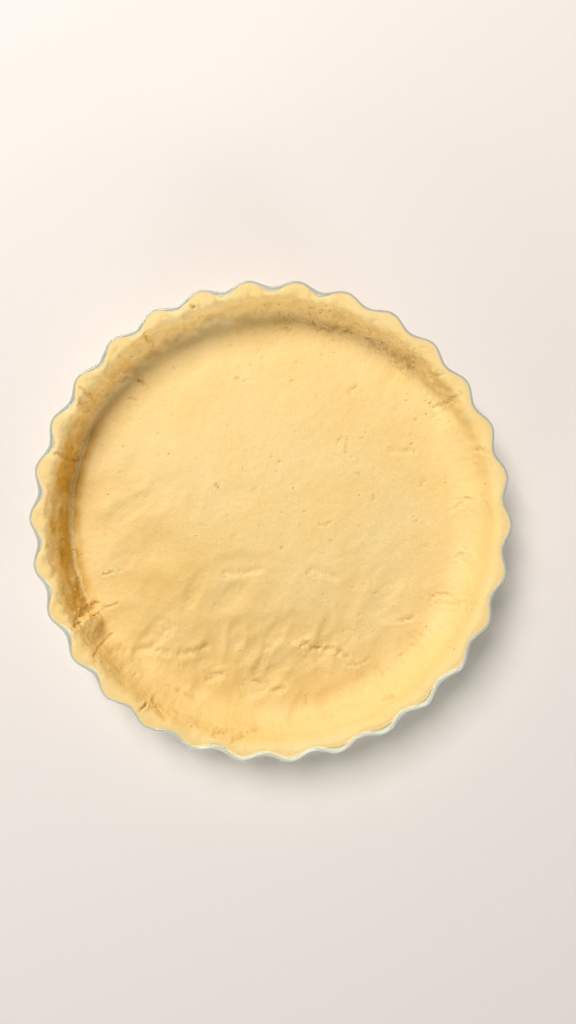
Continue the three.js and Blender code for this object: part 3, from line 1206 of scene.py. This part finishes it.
    def foot(self, angle: np.ndarray) -> tuple[np.ndarray, np.ndarray]:
        """Toe and hollow corner: the toe rises along a power of a sine, then an arc turns up to the face.

        Args:
            angle: One row for each angle.

        Returns:
            Radii and heights, one row for each angle.
        """
        tip_z = self.base.top - self.size("sunk", angle) * MM
        uneven = 1.0 + 0.5 * self.vary(self.slow, angle, 8 * MM, 10.0)
        toe_top = self.base.top + self.size("proud", angle) * MM * uneven
        hollow = self.size("hollow", angle) * MM * (1.0 + 0.15 * self.vary(self.slow, angle, 25 * MM, 6.0))
        middle_z = toe_top + hollow
        lean = (self.inner_face(angle, middle_z + MM) - self.inner_face(angle, middle_z - MM)) / (2 * MM)
        middle_r = self.inner_face(angle, middle_z) - hollow * np.hypot(1.0, lean)
        share = np.linspace(0.0, 1.0, self.hollow_points)[None, :]
        turn = -math.pi / 2 + (math.pi / 2 - np.arctan(lean)) * share
        tip_r = np.minimum(self.seam(angle), middle_r - 0.5 * MM)
        share = np.linspace(0.0, 1.0, self.toe_points + 1)[None, :-1]
        steep = 0.8 + 0.8 * self.share(Seam.SMOOTHED, angle)
        toe_z = tip_z + (toe_top - tip_z) * np.sin(share * math.pi / 2) ** steep
        toe_z[:, 0] = self.base.top - self.bite
        radius = [tip_r + (middle_r - tip_r) * share, middle_r + hollow * np.cos(turn)]
        height = [toe_z, middle_z + hollow * np.sin(turn)]
        return np.concatenate(radius, axis=1), np.concatenate(height, axis=1)

    def face(self, angle: np.ndarray, start: np.ndarray, edge_r: np.ndarray, top: np.ndarray) -> tuple:
        """Inner face and rounded edge: the face climbs to the shoulder, and from there a curve drawn by
        three points, (1-t)^2 a + 2t(1-t) b + t^2 c, bends over to the crown.

        Args:
            angle: One row for each angle.
            start: Heights from which the face climbs.
            edge_r: Radii at which the pastry ends outwards.
            top: Heights of the crown.

        Returns:
            Radii and heights, one row for each angle.
        """
        climb, bend = self.steps(self.face_points), self.steps(self.edge_points)
        shoulder = top - self.size("shoulder", angle) * MM
        face_z = start + (shoulder - start) * climb
        face_r = self.inner_face(angle, face_z)
        crown_r = edge_r - np.clip(0.25 * (edge_r - face_r[:, -1:]), 0.5 * MM, 1.4 * MM)
        lean = (face_r[:, -1:] - face_r[:, -2:-1]) / (face_z[:, -1:] - face_z[:, -2:-1])
        knee_r = np.minimum(face_r[:, -1:] + lean * (top - shoulder), crown_r - 0.8 * MM)
        round_r = (1 - bend) ** 2 * face_r[:, -1:] + 2 * bend * (1 - bend) * knee_r + bend**2 * crown_r
        round_z = (1 - bend) ** 2 * shoulder + (1 - (1 - bend) ** 2) * top
        return np.concatenate([face_r, round_r], axis=1), np.concatenate([face_z, round_z], axis=1)

    def back(
        self, angle: np.ndarray, tip_r: np.ndarray, crown_r: np.ndarray, edge: tuple, top: np.ndarray
    ) -> tuple[np.ndarray, np.ndarray]:
        """Underside, back and lap: level under the toe, up the glass with the gap, out over its rounded
        rim along a quarter wave, and back over the edge to the crown.

        Args:
            angle: One row for each angle.
            tip_r: Radii of the toe's tip.
            crown_r: Radii of the crown.
            edge: Radii and heights at which the pastry ends outwards.
            top: Heights of the crown.

        Returns:
            Radii and heights, one row for each angle.
        """
        edge_r, edge_z = edge
        seat = self.base.top - self.bite
        share = np.linspace(0.0, 1.0, self.toe_points + self.hollow_points)[None, :]
        under_r = tip_r + (self.dish.inside(angle, seat, self.gap) - tip_r) * share
        lip = np.minimum(self.dish.bead_height - 0.6 * MM, edge_z - 0.3 * MM)
        climb, bend = self.steps(self.face_points), self.steps(self.edge_points)
        up_z = seat + (lip - seat) * climb
        loosen = self.shrinkage(angle) * smooth(0.45, 1.0, climb)
        up_r = np.minimum(self.dish.inside(angle, up_z, self.gap + loosen), edge_r)
        half = self.edge_points // 2
        lap = bend[:, :half] * math.pi / bend[0, half - 1] / 2
        rest = self.edge_points - half
        nose = bend[:, :rest] * math.pi / bend[0, rest - 1] / 2
        lap_r = up_r[:, -1:] + (edge_r - up_r[:, -1:]) * (1.0 - np.cos(lap))
        nose_r = crown_r + (edge_r - crown_r) * np.cos(nose) ** 0.6
        lap_z = lip + (edge_z - lip) * np.sin(lap)
        nose_z = edge_z + (top - edge_z) * np.sin(nose) ** 0.8
        radius = np.concatenate([under_r, up_r, lap_r, nose_r], axis=1)
        return radius, np.concatenate([np.full_like(under_r, seat), up_z, lap_z, nose_z], axis=1)

    def paths(self, angle: np.ndarray) -> tuple[np.ndarray, np.ndarray]:
        """The section's two paths at each angle.

        Args:
            angle: One row for each angle.

        Returns:
            (radius, height) points of the outer and of the inner path, one row for each angle.
        """
        edge_r, edge_z = self.outer_edge(angle)
        top = np.maximum(self.edge_height(angle), edge_z + 0.01 * MM)
        edge_z = np.maximum(edge_z * (edge_z > self.dish.bead_height), top - 0.8 * MM)
        foot_r, foot_z = self.foot(angle)
        face_r, face_z = self.face(angle, foot_z[:, -1:], edge_r, top)
        outer = self.back(angle, foot_r[:, :1], face_r[:, -1:], (edge_r, edge_z), top)
        inner = np.concatenate([foot_r, face_r], axis=1), np.concatenate([foot_z, face_z], axis=1)
        return np.stack(outer, axis=-1), np.stack(inner, axis=-1)

    def freedom(self) -> np.ndarray:
        """How far the relief may move each point of the inner path: not at the toe's tip or the crown."""
        count = self.toe_points + self.hollow_points + self.face_points + self.edge_points
        number = np.arange(count)
        return smooth(-1.0, 1.0, number) * smooth(count - 1.0, count - 1.0 - 0.5 * self.edge_points, number)


@dataclass
class PastrySide:
    """One length of pastry pressed against the wall."""

    node: str
    shape: SideShape
    relief: PastryRelief
    pitch: float = 0.62 * MM
    tuck: float = 0.23 * MM
    end_radius: float = 0.9 * MM
    end_pull: float = 0.07  # share of the way to the outer path that a creased end is drawn
    start: float = field(init=False)
    stop: float = field(init=False)

    def __post_init__(self) -> None:
        """Reads from the frame between which angles the length lies, and tucks its ends together."""
        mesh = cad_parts[self.node].data
        points = np.empty(3 * len(mesh.vertices), dtype=np.float32)
        mesh.vertices.foreach_get("co", points)
        angle = np.sort(np.arctan2(points[1::3], points[0::3]))
        steps = np.diff(np.append(angle, angle[0] + 2 * math.pi))
        widest = int(np.argmax(steps))
        tuck = self.tuck / self.shape.dish.rim_radius
        self.start = float(angle[(widest + 1) % len(angle)]) - tuck
        self.stop = float(angle[widest]) + tuck
        if self.stop < self.start:
            self.stop += 2 * math.pi

    def stations(self) -> np.ndarray:
        """Angles of the sections, one a row."""
        length = (self.stop - self.start) * self.shape.dish.rim_radius
        return np.linspace(self.start, self.stop, round(length / self.pitch))[:, None]

    def rounded_ends(self, angle: np.ndarray, outer: np.ndarray, inner: np.ndarray) -> None:
        """Draws the inner path towards the outer near the ends, along a quarter circle, where the
        seam is creased.

        Args:
            angle: Angles of the sections.
            outer: Points of the outer path.
            inner: Points of the inner path, changed in place.
        """
        away = np.minimum(angle - self.start, self.stop - angle) * self.shape.dish.rim_radius
        share = np.clip(1.0 - away / self.end_radius, 0.0, 1.0)
        pull = self.end_pull * self.shape.share(Seam.CREASED, angle) * (1.0 - np.sqrt(1.0 - share**2))
        inner -= pull[..., None] * (inner - outer)

    def build(self, finish: bpy.types.Material) -> bpy.types.Object:
        """Carries the section round the dish, adds the relief, and closes both ends with a ladder.

        Args:
            finish: The dough.

        Returns:
            The length of pastry.
        """
        shape = self.shape
        angle = self.stations()
        outer, inner = shape.paths(angle)
        self.rounded_ends(angle, outer, inner)
        inside = polar(inner[..., 0], angle, inner[..., 1])
        outside = polar(outer[..., 0], angle, outer[..., 1])
        along, up = np.gradient(inside, axis=0), np.gradient(inside, axis=1)
        normal = np.cross(up, along)
        normal /= np.linalg.norm(normal, axis=-1, keepdims=True) + 1e-12
        lift, hollow = self.relief.read(inside)
        wander = shape.vary(shape.slow, angle, 14 * MM, 8.0)
        for fold in shape.folds:
            deep = fold.cut(np.degrees(angle) % 360.0, inner[..., 1], wander)
            lift -= deep
            # painted shade down in each fold
            hollow = np.maximum(hollow, 0.5 * np.clip(deep / MM, 0.0, 1.0))
        on_wall = smooth(shape.base.top, shape.base.top + 4.0 * MM, inner[..., 1])
        lumps = self.relief.wide.layered(inside, 11.0 * MM, 2)
        lumps = lumps + 0.3 * self.relief.rough.layered(inside, 3.5 * MM, 2)
        lift += shape.size("lumps", angle) * MM * on_wall * lumps
        shift = normal * (lift * shape.freedom())[..., None]
        room = shape.dish.height - 0.01 * MM - inside[..., 2]
        rise = np.maximum(shift[..., 2], 0.0)
        shift[..., 2] += room * (1.0 - np.exp(-rise / room)) - rise
        inside += shift
        loop = np.concatenate([outside, inside[:, -2:0:-1]], axis=1)
        path = outer.shape[1]
        faces = self.faces(*loop.shape[:2], path)
        piece = make_object(f"pressed_{self.node}", loop, faces)
        # slit: painted shade on the edge where it has shrunk from the glass, for the dark gap behind it
        slit = 0.9 * np.clip(shape.shrinkage(angle) / (0.7 * MM), 0.0, 1.0)
        for name, values in (("deep_tone_and_shade", self.deep_tone_and_shade_share(angle, inside)), ("hollow", 0.85 * hollow)):
            spread = np.zeros(loop.shape[:2])
            spread[:, path:] = values[:, -2:0:-1]
            spread[:, path - shape.edge_points : path - 3] = slit if name == "hollow" else 0.0
            set_attribute(piece, name, np.clip(spread, 0.0, 1.0))
        place(piece, finish, "pastry", Body.PASTRY, self.node)
        return piece

    def faces(self, stations: int, around: int, path: int) -> list[np.ndarray]:
        """Quads round and along the length, and a ladder from path to path over each end.

        Args:
            stations: Number of sections.
            around: Number of points in a section's loop.
            path: Number of points in each of the section's two paths.

        Returns:
            Arrays of corner numbers.
        """
        faces = [grid_quads(stations, around, True)]
        for station, flip in ((0, False), (stations - 1, True)):
            number = station * around + np.arange(path)
            facing = station * around + (around - np.arange(path)) % around
            ladder = np.stack([number[1:-2], number[2:-1], facing[2:-1], facing[1:-2]], axis=-1)
            ends = np.array([[number[0], number[1], facing[1]], [number[-2], number[-1], facing[-2]]])
            faces += [ladder[:, ::-1], ends[:, ::-1]] if flip else [ladder, ends]
        return faces

    def deep_tone_and_shade_share(self, angle: np.ndarray, points: np.ndarray) -> np.ndarray:
        """Share of the deeper tone: most on the far left wall under the top edge, where it is partly painted
        shade, in faint blotches where the seam isn't smoothed, and a little at the foot as on the base.

        Args:
            angle: Angles.
            points: Points of the inner face.

        Returns:
            Shares from 0 to 1.
        """
        degrees, height = np.degrees(angle) % 360.0, points[..., 2]
        left = band(138.0, 172.0, 194.0, 218.0, degrees)
        wall = band(9.5 * MM, 12.5 * MM, 27.0 * MM, 31.0 * MM, height)
        patch = 0.8 + 0.9 * self.relief.wide.layered(points, 16.0 * MM, 3)
        blotch = np.clip(0.05 + 0.4 * self.relief.fine.layered(points, 8.0 * MM, 3), 0.0, 0.3)
        blotch = blotch * (1.0 - self.shape.share(Seam.SMOOTHED, angle))
        foot = self.relief.lower_left_tone(points) * smooth(24.0 * MM, 12.0 * MM, height)
        # the far left band is partly the dough's own deeper tone and partly painted shade
        return (0.85 * left * np.clip(patch, 0.15, 1.2) + blotch) * wall + foot


# ---------------------------------------------------------------------------- crumbs


@dataclass
class Crumbs:
    """Loose crumbs, each a rough eight-sided ball, mostly where the pastry has broken."""

    count: int = 800
    size: tuple[float, float] = (0.2 * MM, 0.65 * MM)
    stand_off: float = 0.3  # how far a crumb's middle lies off the pastry, as a share of its size
    reach: float = 134.0 * MM
    highest: float = 33.4 * MM
    seed: int = 9

    def ball(self) -> tuple[np.ndarray, np.ndarray]:
        """An octahedron whose faces are each cut in four, drawn out to a ball of radius 1.

        Returns:
            Its 18 points and its 32 triangles.
        """
        corners = np.array([[1, 0, 0], [-1, 0, 0], [0, 1, 0], [0, -1, 0], [0, 0, 1], [0, 0, -1]], float)
        points, numbers, triangles = list(corners), {}, []
        for x, y, z in np.ndindex(2, 2, 2):
            a, b, c = (x, 2 + y, 4 + z) if (x + y + z) % 2 == 0 else (x, 4 + z, 2 + y)
            middles = []
            for pair in ((a, b), (b, c), (c, a)):
                key = tuple(sorted(pair))
                if key not in numbers:
                    numbers[key] = len(points)
                    points.append((corners[key[0]] + corners[key[1]]) / math.sqrt(2))
                middles.append(numbers[key])
            ab, bc, ca = middles
            triangles += [(a, ab, ca), (ab, b, bc), (ca, bc, c), (ab, bc, ca)]
        return np.array(points), np.array(triangles)

    def build(self, pieces: list[bpy.types.Object], finish: bpy.types.Material) -> bpy.types.Object:
        """Sets crumbs on points of the pastry, most of them at its hollows and seams.

        Args:
            pieces: The pastry that the crumbs lie on.
            finish: The dough.

        Returns:
            All crumbs as one piece.
        """
        rng = np.random.default_rng(self.seed)
        places, faces_up, likely = [], [], []
        for piece in pieces:
            vertices = piece.data.vertices
            points, normals = (read_numbers(vertices, name, 3) for name in ("co", "normal"))
            hollow = read_numbers(piece.data.attributes["hollow"].data, "value", 1)[:, 0]
            degrees = np.degrees(np.arctan2(points[:, 1], points[:, 0])) % 360.0
            radius = np.hypot(points[:, 0], points[:, 1])
            crumbly = band(25.0, 45.0, 85.0, 100.0, degrees)
            crumbly += 0.5 * band(150.0, 165.0, 205.0, 230.0, degrees)
            seam = band(112.0 * MM, 120.0 * MM, 126.0 * MM, 134.0 * MM, radius)
            shown = (normals[:, 2] > 0.15) & (radius < self.reach) & (points[:, 2] < self.highest)
            places.append(points)
            faces_up.append(normals)
            likely.append(shown * (0.03 + 0.9 * crumbly * seam + 0.8 * (hollow > 0.1) * (hollow < 0.5)))
        points, normals, weight = np.concatenate(places), np.concatenate(faces_up), np.concatenate(likely)
        chosen = rng.choice(len(points), self.count, replace=False, p=weight / weight.sum())
        ball, triangles = self.ball()
        size = rng.uniform(*self.size, (self.count, 1, 1)) * rng.uniform(0.6, 1.2, (self.count, 1, 3))
        rough = ball[None] * size * rng.uniform(0.75, 1.2, (self.count, len(ball), 1))
        mean_size = size[:, 0, :].mean(axis=-1, keepdims=True)
        centres = points[chosen] + normals[chosen] * mean_size * self.stand_off
        loose = (rough + centres[:, None]).reshape(-1, 3)
        numbers = (triangles[None] + len(ball) * np.arange(self.count)[:, None, None]).reshape(-1, 3)
        crumbs = make_object("pastry_crumbs", loose, [numbers])
        for name, value in (("deep_tone_and_shade", 0.15), ("hollow", 0.0)):
            set_attribute(crumbs, name, np.full(len(loose), value))
        place(crumbs, finish, "pastry", Body.PASTRY)
        return crumbs


# ---------------------------------------------------------------------------- studio


@dataclass(frozen=True)
class SoftLamp:
    """A square area lamp that faces the origin from a distance."""

    name: str
    azimuth: float  # degrees
    elevation: float  # degrees
    distance: float
    size: float
    power: float  # watts
    colour: tuple[float, float, float]

    def hang(self) -> None:
        """Hangs the lamp in its place."""
        turn, rise = math.radians(self.azimuth), math.radians(self.elevation)
        way = Vector((math.cos(turn) * math.cos(rise), math.sin(turn) * math.cos(rise), math.sin(rise)))
        light = bpy.data.lights.new(self.name, "AREA")
        light.shape, light.size, light.energy, light.color = "SQUARE", self.size, self.power, self.colour
        lamp = bpy.data.objects.new(self.name, light)
        lamp.location = way * self.distance
        lamp.rotation_euler = (-way).to_track_quat("-Z", "Y").to_euler()
        bpy.context.scene.collection.objects.link(lamp)


@dataclass
class Studio:
    """Pale table, soft window light from the upper left, and a camera straight overhead."""

    table_size: float = 3.0
    lens: float = 26.37  # mm
    sensor: float = 36.0  # mm, long side
    height_over_rim: float = 0.433
    aim: tuple[float, float] = (10.9 * MM, 5.5 * MM)
    lean: tuple[float, float] = (1.32, 0.0)  # degrees, towards +X and +Y
    roll: float = 0.86  # degrees
    window: SoftLamp = SoftLamp("window", 122.0, 52.0, 2.15, 1.05, 48.0, (1.0, 0.955, 0.91))
    room_wall: SoftLamp = SoftLamp("room_wall", 312.0, 9.0, 3.2, 0.94, 40.0, (0.92, 0.95, 1.0))
    doorway: SoftLamp = SoftLamp("doorway", 245.0, 9.0, 3.2, 0.94, 33.5, (0.78, 0.90, 1.0))
    sky_colour: tuple[float, float, float] = (0.80, 0.90, 1.0)
    sky_strength: float = 0.17
    backdrop_colour: tuple[float, float, float] = (0.80, 0.765, 0.74)

    def lay_table(self) -> None:
        """Lays the table top at the height that the dish stands on."""
        half = self.table_size / 2
        corners = np.array([[-half, -half, 0], [half, -half, 0], [half, half, 0], [-half, half, 0]])
        table = make_object("table_top", corners, [np.array([[0, 1, 2, 3]])])
        table.data.materials.append(PaintedTable().material())

    def hang_lights(self) -> None:
        """Hangs the window, a wall and a doorway that send some light back, and a cool, even sky."""
        for lamp in (self.window, self.room_wall, self.doorway):
            lamp.hang()
        world = bpy.data.worlds.new("room")
        world.use_nodes = True
        tree = world.node_tree
        sky, backdrop = tree.nodes["Background"], tree.nodes.new("ShaderNodeBackground")
        sky.inputs["Color"].default_value = (*self.sky_colour, 1.0)
        sky.inputs["Strength"].default_value = self.sky_strength
        backdrop.inputs["Color"].default_value = (*self.backdrop_colour, 1.0)
        either = tree.nodes.new("ShaderNodeMixShader")
        tree.links.new(tree.nodes.new("ShaderNodeLightPath").outputs["Is Camera Ray"], either.inputs[0])
        tree.links.new(sky.outputs["Background"], either.inputs[1])
        tree.links.new(backdrop.outputs["Background"], either.inputs[2])
        tree.links.new(either.outputs["Shader"], tree.nodes["World Output"].inputs["Surface"])
        bpy.context.scene.world = world

    def set_camera(self, rim_height: float) -> None:
        """Sets the camera over the dish.

        Args:
            rim_height: Height of the plane that the camera's distance is counted from.
        """
        lean_x, lean_y = (math.tan(math.radians(angle)) for angle in self.lean)
        back = Vector((lean_x, lean_y, 1.0)).normalized()
        turn = math.radians(self.roll)
        up = Vector((-math.sin(turn), math.cos(turn), 0.0))
        right = up.cross(back).normalized()
        up = back.cross(right)
        place = Vector((*self.aim, rim_height)) + back * (self.height_over_rim / back.z)
        lens = bpy.data.cameras.new("overhead")
        lens.lens, lens.sensor_width = self.lens, self.sensor
        camera = bpy.data.objects.new("overhead", lens)
        camera.matrix_world = Matrix((right, up, back)).transposed().to_4x4()
        camera.location = place
        bpy.context.scene.collection.objects.link(camera)
        bpy.context.scene.camera = camera

    def build(self, rim_height: float) -> None:
        """Sets up the table, the lights, the camera and the picture's tone."""
        self.lay_table()
        self.hang_lights()
        self.set_camera(rim_height)
        bpy.context.scene.view_settings.view_transform = "Standard"


def main() -> None:
    """Builds the dish, the pastry, the crumbs and the studio."""
    logging.basicConfig(level=logging.INFO, format="%(name)s %(message)s")
    dish = GlassDish()
    dish.build(PressedGlass())
    dough = RawShortcrust().material()
    relief = PastryRelief()
    base = PastryBase(dish, relief)
    shape = SideShape(dish, base)
    pastry = [base.build(dough)]
    for node in sorted(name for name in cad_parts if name.startswith("pastry_side_")):
        pastry.append(PastrySide(node, shape, relief).build(dough))
    Crumbs().build(pastry, dough)
    Studio().build(dish.height)


if __name__ == "__main__":
    main()
